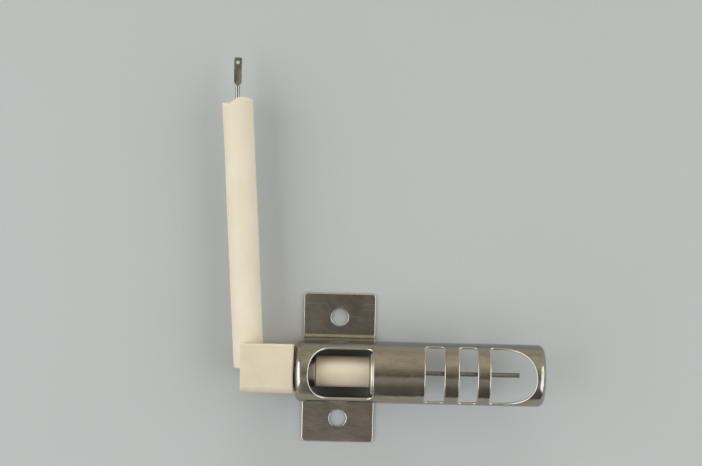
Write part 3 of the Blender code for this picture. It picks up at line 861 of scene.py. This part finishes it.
def drafted_block(low, high):
    """The head's block, narrower below, with the rounding of each edge as its weight."""
    shape = plain_box(low, high)
    weight = shape.edges.layers.float.new("bevel_weight_edge")
    middle = (low + high) / 2
    for edge in shape.edges:
        centre = (edge.verts[0].co + edge.verts[1].co) / 2
        is_brow = centre.y < middle.y and centre.z > middle.z and abs(centre.x - middle.x) < HEAD_ROUND
        edge[weight] = 1.0 if is_brow else HEAD_ROUND / HEAD_BROW
    for vertex in shape.verts:
        if vertex.co.z < middle.z:
            vertex.co.y -= math.copysign(HEAD_DRAFT, vertex.co.y - middle.y)
    return shape


def build_head(material):
    """The pressed block: a socket for the stem in front, and a fork behind, open to the lead's side."""
    head = link_object("head_ceramic", drafted_block(HEAD_LOW, HEAD_HIGH))
    round_edges(head, "WEIGHT", HEAD_BROW, EDGE_STEPS)
    gap = SLEEVE_RADIUS + FIT
    fork_front = LEAD_X + SLEEVE_RADIUS * cos(LEAD_LEAN) + FIT
    fork_low = Vector((HEAD_LOW.x - 2 * HEAD_ROUND, -ROD_RADIUS - FIT, ROD_HEIGHT - gap))
    fork_high = Vector((fork_front, HEAD_HIGH.y + 2 * HEAD_ROUND, ROD_HEIGHT + gap))
    cut(head, rounded_box(fork_low, fork_high, FORK_ROUND))
    cut(head, round_cutter(NECK_BACK - FIT, HEAD_HIGH.x + HEAD_ROUND, NECK_RADIUS + FIT))
    cut(head, round_cutter(fork_front - HEAD_ROUND, HEAD_HIGH.x, BORE_RADIUS))
    round_edges(head, "ANGLE", FORK_ROUND, FORK_STEPS)
    dress(head, material, "insulator_head")


def build_gasket(material):
    inner, outer = NECK_RADIUS + FIT, GASKET_HIGH.y
    back, front = GASKET_LOW.x, GASKET_HIGH.x
    corners = [(back, inner), (back, outer), (front, outer), (front, inner)]
    gasket = link_object("gasket_ring", turned(corners, GASKET_ROUND))
    dress(gasket, material, "head_gasket")


def build_retainer(material):
    """A dished push-on washer with teeth that bite the rod in front of the stem."""
    rim = RETAINER_LOW.x
    outer = RETAINER_HIGH.y

    def teeth(x):
        ring = circle(x, 1.0)
        for index, spot in enumerate(ring):
            turn = (index / ROUND_SIDES * RETAINER_TEETH) % 1.0
            slot_share = smooth_step((abs(turn - 0.5) - TOOTH_HALF) / TOOTH_FLANK)
            radius = ROD_RADIUS + FIT / 2 + (RETAINER_SLOT - ROD_RADIUS) * slot_share
            across = (spot - ROD_AXIS) - Vector((x, 0, 0))
            ring[index] = ROD_AXIS + Vector((x, across.y * radius, across.z * radius))
        return ring

    half = RETAINER_SHEET / 2
    turns = half_turns(EDGE_STEPS)
    edge = [circle(rim + half * (1 - cos(t)), outer - half * (1 - sin(t))) for t in turns]
    rings = [teeth(rim + RETAINER_DISH), *edge, teeth(rim + RETAINER_DISH + RETAINER_SHEET)]
    retainer = link_object("retainer_washer", loft(rings, joined=True))
    dress(retainer, material, "rod_retainer")


def lead_point(along):
    """A point of the lead's axis, from the corner where it meets the spark rod's axis."""
    return ROD_AXIS + Vector((LEAD_X - along * sin(LEAD_LEAN), along * cos(LEAD_LEAN), 0))


def rod_stations():
    """The rod as (point, heading, flatness, groove, scale) from tip to terminal, and its hole's place."""
    back, up = math.pi, QUARTER + LEAD_LEAN
    stations = []

    def add(point, heading, flatness=0.0, groove=0.0, scale=1.0):
        stations.append((point, heading, flatness, groove, scale))

    for turn in quarter_turns(RIM_STEPS):
        inset = ROD_TIP_ROUND * (1 - sin(turn))
        point = ROD_AXIS + Vector((ROD_HIGH.x - ROD_TIP_ROUND * (1 - cos(turn)), 0, 0))
        add(point, back, scale=1 - inset / ROD_RADIUS)
    centre = ROD_AXIS + Vector((LEAD_X + ROD_BEND * math.tan((back - up) / 2), ROD_BEND, 0))
    for step in range(ARC_STEPS + 1):
        heading = back + (up - back) * step / ARC_STEPS
        arm = Vector((-sin(heading), cos(heading), 0)) * ROD_BEND
        add(centre + arm, heading)
    tab = up - TAB_KINK
    along = Vector((cos(tab), sin(tab), 0))
    crook = lead_point(SLEEVE_END + NECK_BARE / 2)
    foot = crook + along * NECK_BARE / 2
    add(crook - Vector((cos(up), sin(up), 0)) * ROD_RADIUS, up)
    add(crook, up - TAB_KINK / 2)
    add(crook + along * ROD_RADIUS, tab)
    for step in range(EDGE_STEPS + 1):
        share = step / EDGE_STEPS
        flat = smooth_step(share)
        add(foot + along * TAB_TAPER * share, tab, flat, flat)
    end = TAB_TAPER + TAB_LENGTH
    groove_end = end - 2 * TAB_HOLE_INSET
    for distance in between(TAB_TAPER, groove_end + TAB_CORNER, ARC_STEPS):
        groove = smooth_step((groove_end - distance) / TAB_HOLE_INSET)
        add(foot + along * distance, tab, 1.0, groove)
    for turn in quarter_turns(EDGE_STEPS):
        distance = end - TAB_CORNER * (1 - sin(turn))
        inset = TAB_CORNER * (1 - cos(turn))
        add(foot + along * distance, tab, 1.0, scale=1 - 2 * inset / TAB_WIDTH)
    return stations, foot + along * (end - TAB_HOLE_INSET)


def rod_section(point, heading, flatness, groove, scale):
    """One ring of the rod: round where flatness is 0, the flat terminal where it is 1, dished by groove."""
    across = Vector((-sin(heading), cos(heading), 0))
    power = 2 / (2 + (TAB_SQUARENESS - 2) * flatness)
    half_wide = ROD_RADIUS + (TAB_WIDTH / 2 - ROD_RADIUS) * flatness
    half_tall = ROD_RADIUS + (TAB_THICKNESS / 2 - ROD_RADIUS) * flatness
    tall_scale = scale + (1 - scale) * flatness
    ring = []
    for step in range(ROD_SIDES):
        turn = 2 * math.pi * (step + 0.5) / ROD_SIDES
        wide, tall = cos(turn), sin(turn)
        side = math.copysign(abs(wide) ** power, wide) * half_wide * scale
        rise = math.copysign(abs(tall) ** power, tall) * half_tall * tall_scale
        if tall > 0:
            rise -= TAB_GROOVE * groove * max(0.0, 1 - (side / (TAB_GROOVE_SHARE * half_wide)) ** 2)
        ring.append(point + across * side + Vector((0, 0, rise)))
    return ring


def build_rod(material):
    stations, hole = rod_stations()
    rod = link_object("spark_rod_wire", loft([rod_section(*station) for station in stations], joined=False))
    half = TAB_THICKNESS / 2
    cut(rod, flared_cutter(TAB_HOLE / 2, ROD_HEIGHT - half, ROD_HEIGHT + half, TAB_HOLE_EDGE, hole))
    dress(rod, material, "spark_rod")


def sleeve_cut(across):
    """How far the hand-cut end of the sleeve falls short of its longest point, at a place across it."""
    if across < TOP_DIP:
        return TOP_DEPTH - TOP_RISE * min(1.0, ((TOP_DIP - across) / TOP_RISE_WIDTH) ** 2)
    if across < TOP_CREST:
        share = (across - TOP_DIP) / (TOP_CREST - TOP_DIP)
        return TOP_DEPTH * (1 + cos(math.pi * share)) / 2
    return TOP_FALL * ((across - TOP_CREST) / TOP_FALL_WIDTH) ** 2


def sleeve_point(along, radius, turn):
    """A point of the sleeve, with its soft swell and its uneven top end."""
    side, rise = radius * sin(turn), radius * cos(turn)
    share = (along - SLEEVE_START) / SLEEVE_LENGTH
    near_top = smooth_step((share - 1 + TOP_SHARE) / TOP_SHARE)
    tilt = TOP_TILT * max(0.0, -cos(turn))
    along -= near_top * (sleeve_cut(SLEEVE_RADIUS * sin(turn)) + tilt)
    ripple = noise.noise(Vector((along * RIPPLE_PER_METRE, cos(turn), sin(turn))))
    slow = noise.noise(Vector((along * SLOW_PER_METRE, *SLOW_PLACE)))
    swell = SWELL_MEAN + SWELL_SLOW * slow + SWELL_RIPPLE * ripple
    scale = 1 - SLEEVE_SWELL / SLEEVE_RADIUS * swell * (1 - TOP_CALM * near_top)
    way = Vector((cos(LEAD_LEAN), sin(LEAD_LEAN), 0))
    return lead_point(along) + way * side * scale + Vector((0, 0, rise * scale))


def build_sleeve(material):
    """The soft tube, cut off by hand at its top, which slides on the lead."""
    outer, inner, lip = SLEEVE_RADIUS, SLEEVE_BORE / 2, SLEEVE_LIP
    turns = quarter_turns(RIM_STEPS)
    foot = [(SLEEVE_START + lip * (1 - cos(t)), outer - lip * (1 - sin(t))) for t in turns]
    body = [(along, outer) for along in between(SLEEVE_START + lip, SLEEVE_END - lip, ROUND_SIDES)]
    top = [(SLEEVE_END - lip * (1 - sin(t)), outer - lip * (1 - cos(t))) for t in turns]
    mouth = [(SLEEVE_END, inner + lip / 2), (SLEEVE_END - lip / 2, inner)]
    bore = [(along, inner) for along in between(SLEEVE_END, SLEEVE_START, ARC_STEPS)]
    heel = [(SLEEVE_START + lip / 2, inner), (SLEEVE_START, inner + lip / 2)]
    profile = [*foot, *body, *top, *mouth, *bore, *heel]
    around = full_turns(ROUND_SIDES)
    rings = [[sleeve_point(along, radius, turn) for turn in around] for along, radius in profile]
    sleeve = link_object("lead_sleeve_tube", loft(rings, joined=True))
    dress(sleeve, material, "lead_sleeve", body="sleeve")


def add_node(tree, kind, inputs=(), **settings):
    """Adds a shader node; an input's value is a number, a colour, or another node's output."""
    node = tree.nodes.new(kind)
    for key, value in settings.items():
        setattr(node, key, value)
    for key, value in dict(inputs).items():
        if isinstance(value, bpy.types.NodeSocket):
            tree.links.new(value, node.inputs[key])
        else:
            node.inputs[key].default_value = value
    return node


def new_material(name, roughness, metallic=0.0):
    """A material, and the object coordinates in metres."""
    material = bpy.data.materials.new(name)
    material.use_nodes = True
    tree = material.node_tree
    inputs = tree.nodes["Principled BSDF"].inputs
    inputs["Roughness"].default_value = roughness
    inputs["Metallic"].default_value = metallic
    return material, add_node(tree, "ShaderNodeTexCoord").outputs["Object"]


# The helpers below work on the tree of the socket that they are given.
def wire(*values):
    """Feeds a material's shader its colour, roughness and normal."""
    tree = values[0].id_data
    for name, value in zip(SHADER_INPUTS, values):
        tree.links.new(value, tree.nodes["Principled BSDF"].inputs[name])


def stretched(place, scale, turn=(0.0, 0.0, 0.0)):
    values = {"Vector": place, "Scale": scale, "Rotation": turn}
    return add_node(place.id_data, "ShaderNodeMapping", values).outputs["Vector"]


def noise_at(place, scale, detail=3.0, roughness=0.5):
    values = {"Vector": place, "Scale": scale, "Detail": detail, "Roughness": roughness}
    return add_node(place.id_data, "ShaderNodeTexNoise", values).outputs["Fac"]


def mapped(value, span, result=WHOLE):
    """A value whose span is spread over the result's two ends."""
    values = {"Value": value, "From Min": span[0], "From Max": span[1]}
    values |= {"To Min": result[0], "To Max": result[1]}
    return add_node(value.id_data, "ShaderNodeMapRange", values).outputs["Result"]


def mixed_colour(factor, first, second):
    values = {MIX_FACTOR: factor}
    for index, value in ((MIX_FIRST, first), (MIX_SECOND, second)):
        values[index] = value if isinstance(value, bpy.types.NodeSocket) else (*value, 1.0)
    return add_node(factor.id_data, "ShaderNodeMix", values, data_type="RGBA").outputs[MIX_RESULT]


def maths(operation, first, second):
    values = {0: first, 1: second}
    return add_node(first.id_data, "ShaderNodeMath", values, operation=operation).outputs[0]


def added(base, value, share):
    """A base with a share of a value on top."""
    return maths("ADD", base, maths("MULTIPLY", value, share))


def bumped(height, depth, strength, normal=None):
    """A bump of the given depth in metres, on top of another bump if one is given."""
    values = {"Height": height, "Distance": depth, "Strength": strength}
    if normal:
        values["Normal"] = normal
    return add_node(height.id_data, "ShaderNodeBump", values).outputs["Normal"]


def metal_material(name):
    """Sheet or wire: fine grain, which may run one way, smudges, and a few scratches."""
    tones, roughness, grain = METALS[name]
    material, place = new_material(name, max(roughness), metallic=1.0)
    streaks = noise_at(stretched(place, grain), scale=1.0, detail=4.0, roughness=0.6)
    smudges = noise_at(place, scale=160.0, detail=4.0, roughness=0.55)
    clouds = noise_at(place, scale=45.0, detail=2.0)
    scratches = noise_at(stretched(place, SCRATCH_GRAIN, SCRATCH_TURN), scale=1.0, detail=2.0)
    scratch = mapped(scratches, SCRATCH_SPAN)
    tone = added(maths("MULTIPLY", streaks, 0.5), clouds, 0.5)
    colour = mixed_colour(mapped(tone, METAL_SPAN), *tones)
    gloss = mapped(smudges, SMUDGE_SPAN, roughness)
    fine = bumped(streaks, depth=0.004 * MM, strength=0.5)
    scored = bumped(scratch, depth=0.003 * MM, strength=0.4, normal=fine)
    wire(colour, added(gloss, scratch, SCRATCH_GLOSS), scored)
    return material


def age_and_paint_light_on_sheet(material):
    """Adds dents, water stains, painted reflection and shade on the roof's sides, and pale sheared edges
    that are partly a painted highlight, to the shield.
    """
    tree = material.node_tree
    inputs = tree.nodes["Principled BSDF"].inputs
    base, gloss, grain = [inputs[name].links[0].from_socket for name in SHADER_INPUTS]
    place = add_node(tree, "ShaderNodeTexCoord").outputs["Object"]
    water = noise_at(stretched(place, STAIN_GRAIN), scale=1.0, detail=5.0, roughness=0.65)
    stains = mapped(water, STAIN_SPAN, (0.0, STAIN_SHARE))
    base = mixed_colour(stains, base, STAIN_TONE)
    height = add_node(tree, "ShaderNodeSeparateXYZ", {"Vector": place}).outputs["Z"]
    # Painted reflection and shade: the roof's sides turn tan, then darker, towards the bottom
    drift = mapped(noise_at(place, scale=300.0), SOFT_SPAN, (-PAINTED_REFLECTION_DRIFT, PAINTED_REFLECTION_DRIFT))
    level = maths("ADD", height, drift)
    above_leg = mapped(height, (PAINTED_REFLECTION_FOOT, PAINTED_REFLECTION_FOOT + PAINTED_REFLECTION_FADE))
    for top, painted_tone in ((PAINTED_TAN_REFLECTION_TOP, PAINTED_TAN_REFLECTION), (PAINTED_DARK_REFLECTION_TOP, PAINTED_DARK_REFLECTION)):
        below = mapped(level, (top, top - PAINTED_REFLECTION_FADE))
        base = mixed_colour(maths("MULTIPLY", below, above_leg), base, painted_tone)
    # Pale cut edges: partly the sheared metal's own tone, partly a painted highlight
    edge = add_node(tree, "ShaderNodeAttribute", attribute_name=CUT_EDGE).outputs["Fac"]
    rough = added(added(gloss, edge, CUT_EDGE_GLOSS), stains, STAIN_GLOSS)
    hollows = noise_at(stretched(place, DENT_GRAIN), scale=1.0, roughness=0.6)
    dented = bumped(hollows, depth=0.05 * MM, strength=1.0, normal=grain)
    wire(mixed_colour(edge, base, PALE_EDGE_AND_HIGHLIGHT_TONE), rough, dented)


def ceramic_material():
    """Unglazed pressed ceramic: fine grains, soft clouds of tone, and a few dark specks."""
    material, place = new_material("ceramic", 0.6)
    clouds = noise_at(place, scale=140.0, detail=4.0, roughness=0.55)
    grains = noise_at(place, scale=4200.0, roughness=0.65)
    specks = mapped(noise_at(place, scale=1900.0, detail=1.0), SPECK_SPAN, (0.0, 0.6))
    body = mixed_colour(mapped(clouds, SOFT_SPAN), *CERAMIC_TONES)
    fine = bumped(grains, depth=0.02 * MM, strength=0.35)
    uneven = bumped(clouds, depth=0.06 * MM, strength=0.3, normal=fine)
    gloss = mapped(grains, SOFT_SPAN, CERAMIC_GLOSS)
    wire(mixed_colour(specks, body, CERAMIC_SPECK), gloss, uneven)
    return material


def mica_material():
    """Pressed mica: thin brown layers across the ring, with bright flakes."""
    material, place = new_material("mica", 0.45)
    layers = noise_at(stretched(place, MICA_GRAIN), scale=1.0, detail=2.0)
    flakes = mapped(noise_at(place, scale=2600.0, detail=2.0), FLAKE_SPAN)
    body = mixed_colour(mapped(layers, SOFT_SPAN), *MICA_TONES)
    gloss = mapped(flakes, WHOLE, MICA_GLOSS)
    layered = bumped(layers, depth=0.03 * MM, strength=0.5)
    wire(mixed_colour(flakes, body, MICA_FLAKE), gloss, layered)
    return material


def silicone_material():
    """Cream silicone tube: faint lines along it from the die, soft clouds, dust, and handling marks."""
    material, place = new_material("silicone", 0.55)
    lines = noise_at(stretched(place, SILICONE_GRAIN), scale=1.0)
    clouds = noise_at(place, scale=90.0, detail=4.0, roughness=0.55)
    marks = mapped(noise_at(place, scale=420.0), MARK_SPAN)
    dust = mapped(noise_at(place, scale=2600.0, detail=1.0), DUST_SPAN, (0.0, 0.5))
    body = mixed_colour(mapped(clouds, SOFT_SPAN), *SILICONE_TONES)
    fine = bumped(lines, depth=0.015 * MM, strength=0.4)
    handled = bumped(marks, depth=0.03 * MM, strength=0.25, normal=fine)
    gloss = mapped(marks, WHOLE, SILICONE_GLOSS)
    wire(mixed_colour(dust, body, SILICONE_DUST), gloss, handled)
    return material


def floor_material():
    """A plain pale board: fine grains, and clouds that hardly show."""
    material, place = new_material("floor", 0.85)
    grains = noise_at(place, scale=900.0)
    clouds = noise_at(place, scale=6.0)
    tone = added(maths("MULTIPLY", grains, 0.4), clouds, 0.6)
    body = mixed_colour(mapped(tone, SOFT_SPAN), *FLOOR_TONES)
    tree = material.node_tree
    inputs = tree.nodes["Principled BSDF"].inputs
    tree.links.new(body, inputs["Base Color"])
    tree.links.new(bumped(grains, depth=0.02 * MM, strength=0.3), inputs["Normal"])
    inputs["Specular IOR Level"].default_value = FLOOR_SHINE
    return material


def build_floor():
    shape = bmesh.new()
    bmesh.ops.create_grid(shape, x_segments=FLOOR_CELLS, y_segments=FLOOR_CELLS, size=FLOOR_REACH)
    floor = link_object("floor", shape)
    floor.data.materials.append(floor_material())


def add_softbox(name, place, size, power, colour):
    """A rectangular lamp that faces the part, not shown to the camera."""
    lamp = bpy.data.lights.new(name, "AREA")
    lamp.shape = "RECTANGLE"
    lamp.size, lamp.size_y = size
    lamp.energy = power
    lamp.color = colour
    thing = bpy.data.objects.new(name, lamp)
    thing.location = place
    thing.rotation_mode = "QUATERNION"
    thing.rotation_quaternion = (LAMP_AIM - place).to_track_quat("-Z", "Y")
    thing.visible_camera = False
    bpy.context.scene.collection.objects.link(thing)
    return thing


def build_lights():
    """The two softboxes, which metal reflects, and the fill, which it doesn't."""
    for name, side, power in (("left_softbox", -1, LEFT_POWER), ("right_softbox", 1, RIGHT_POWER)):
        place = Vector((side * SOFTBOX_PLACE.x, SOFTBOX_PLACE.y, SOFTBOX_PLACE.z))
        add_softbox(name, place, SOFTBOX_SIZE, power, SOFTBOX_COLOUR)
    fill = add_softbox("lead_side_fill", FILL_PLACE, FILL_SIZE, FILL_POWER, FILL_COLOUR)
    fill.data.spread = FILL_SPREAD
    fill.visible_glossy = False


def build_world():
    """A room: a tan wall on the lead's side, a dark ceiling, a pale strip past it, and a dim far side."""
    world = bpy.data.worlds.new("room")
    bpy.context.scene.world = world
    world.use_nodes = True
    tree = world.node_tree
    way = add_node(tree, "ShaderNodeTexCoord").outputs["Generated"]
    parts = add_node(tree, "ShaderNodeSeparateXYZ", {"Vector": way}).outputs
    lean = maths("ARCTAN2", parts["Y"], parts["Z"])
    ramp = add_node(tree, "ShaderNodeValToRGB", {"Fac": mapped(lean, (-QUARTER, QUARTER))})
    stops = ramp.color_ramp.elements
    for degrees, colour in ROOM_TONES:
        stop = stops.new((degrees + 90) / 180)
        stop.color = (*colour, 1.0)
    stops.remove(stops[0])
    stops.remove(stops[-1])
    across = maths("ARCTAN2", parts["X"], parts["Z"])
    beside = mapped(across, (0.0, SIDE_TURN), (0.0, SIDE_SHARE))
    colour = mixed_colour(beside, ramp.outputs["Color"], SIDE_TONE)
    background = tree.nodes["Background"]
    tree.links.new(colour, background.inputs["Color"])
    background.inputs["Strength"].default_value = 1.0


def build_camera():
    data = bpy.data.cameras.new("camera")
    data.lens = CAMERA_LENS
    data.sensor_width = SENSOR_WIDTH
    data.clip_start = VIEW_NEAR
    data.clip_end = VIEW_FAR
    camera = bpy.data.objects.new("camera", data)
    stand = Matrix.Translation(CAMERA_PLACE) @ Matrix.Rotation(CAMERA_TURN, 4, "Z")
    camera.matrix_world = Matrix.Rotation(CAMERA_LEAN, 4, "X") @ stand
    bpy.context.scene.collection.objects.link(camera)
    bpy.context.scene.camera = camera


def build_object():
    stainless = metal_material("stainless")
    age_and_paint_light_on_sheet(stainless)
    cap_steel = metal_material("cap_steel")
    ceramic = ceramic_material()
    build_shield(stainless)
    build_rear_cap(cap_steel)
    build_front_support(cap_steel)
    build_stem(ceramic)
    build_head(ceramic)
    build_gasket(mica_material())
    build_retainer(metal_material("spring_steel"))
    build_rod(metal_material("rod_alloy"))
    build_sleeve(silicone_material())


build_object()
build_floor()
build_lights()
build_world()
build_camera()
bpy.context.scene.view_settings.view_transform = "Standard"
